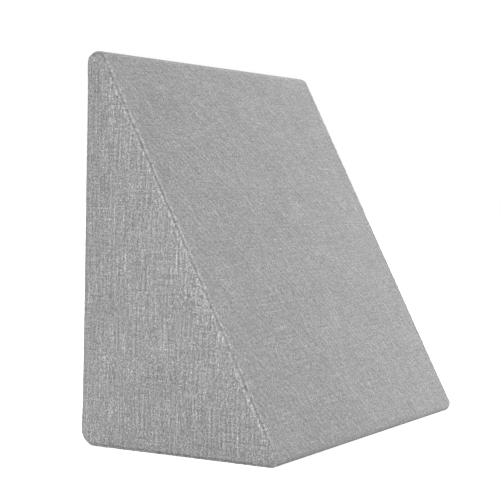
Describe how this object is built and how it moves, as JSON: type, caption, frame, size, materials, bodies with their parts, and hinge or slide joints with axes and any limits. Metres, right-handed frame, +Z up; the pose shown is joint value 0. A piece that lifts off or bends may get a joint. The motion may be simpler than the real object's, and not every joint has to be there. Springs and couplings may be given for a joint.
{
  "type": "wedge pillow",
  "caption": "Firm wedge pillow in a grey linen-look cover, standing on its short face: sloped front, upright back, triangular sides, rounded sewn edges.",
  "frame": {"origin": "on the surface the pillow stands on, under the middle of its box", "axes": "+Z up; +X along the width, from one triangular side to the other; +Y towards the upright back, so the slope faces -Y"},
  "size_m": [0.6116, 0.3026, 0.5272],
  "materials": {
    "cover_cloth": "matt plain weave with slubby, uneven yarns, in two close greys"
  },
  "bodies": {
    "root": {"wedge_pillow": "cover_cloth"}
  },
  "joints": []
}
